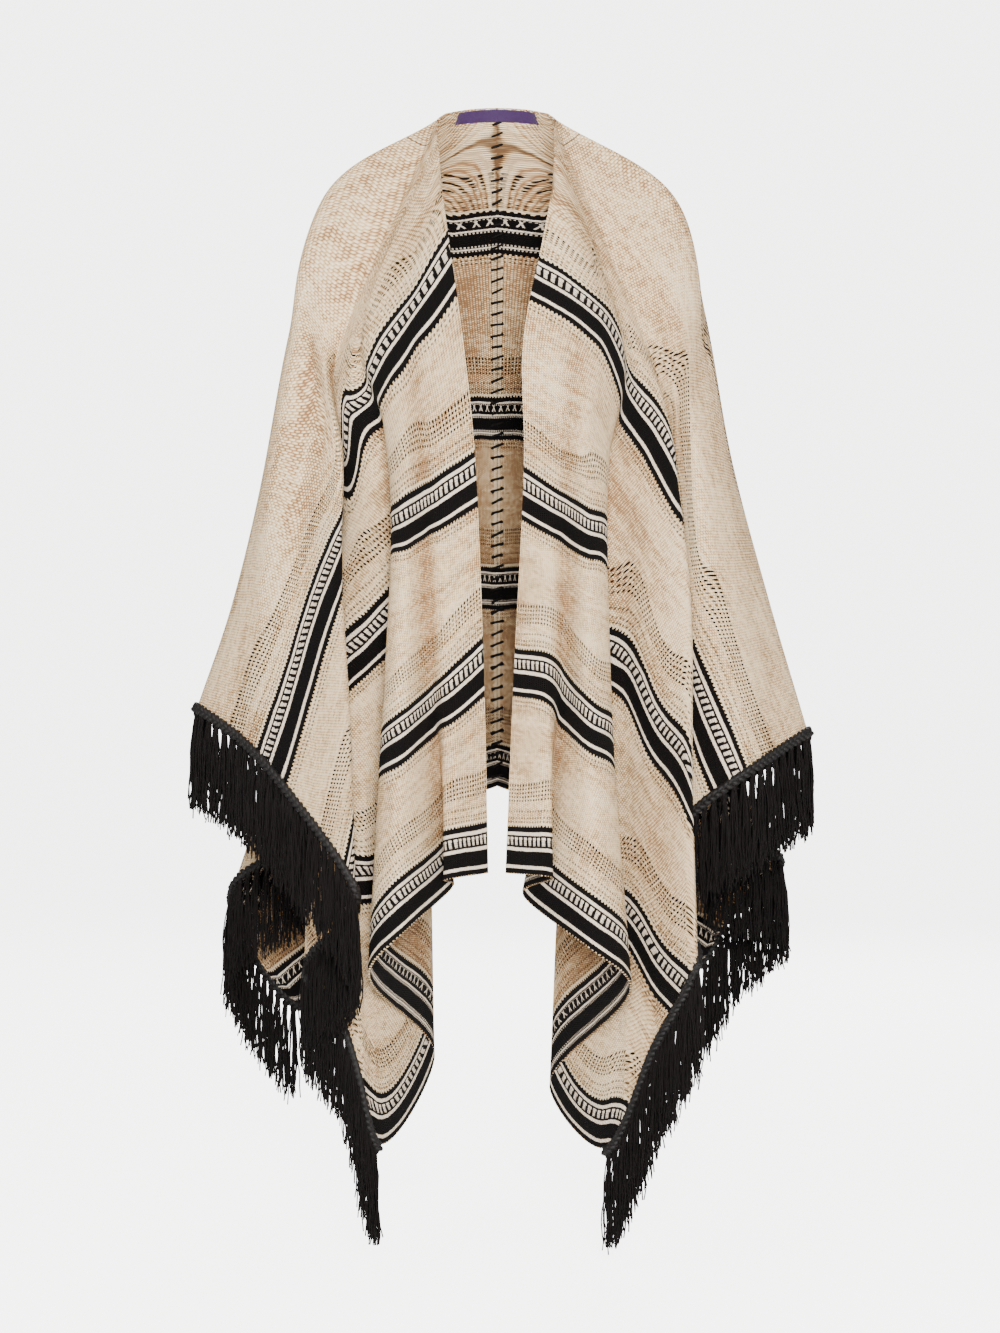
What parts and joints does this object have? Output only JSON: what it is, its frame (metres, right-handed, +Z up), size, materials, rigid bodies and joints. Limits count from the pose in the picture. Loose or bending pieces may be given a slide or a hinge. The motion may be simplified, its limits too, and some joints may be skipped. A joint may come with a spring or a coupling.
{
  "type": "open-front knitted poncho, worn shape",
  "caption": "Open-front knitted poncho of two wide panels hanging from the shoulders in deep folds, with woven bands and tasselled sides.",
  "frame": {"origin": "top of the centre-back seam, at the nape, where the wearer's neck and shoulders hold the garment", "axes": "+Z up, the open front faces -Y, +X to the wearer's left"},
  "size_m": [0.7353, 0.4243, 1.3361],
  "materials": {
    "knit_cloth": "slubbed knit of beige, cream and tan melange yarn with black, cream and openwork bands",
    "black_trim": "black plaited braid and twisted yarn tassels",
    "label_satin": "plain purple woven satin tape, left bare"
  },
  "bodies": {
    "root": {"right_panel": "knit_cloth", "left_panel": "knit_cloth", "right_fringe": "black_trim", "left_fringe": "black_trim", "neck_label": "label_satin"}
  },
  "joints": []
}
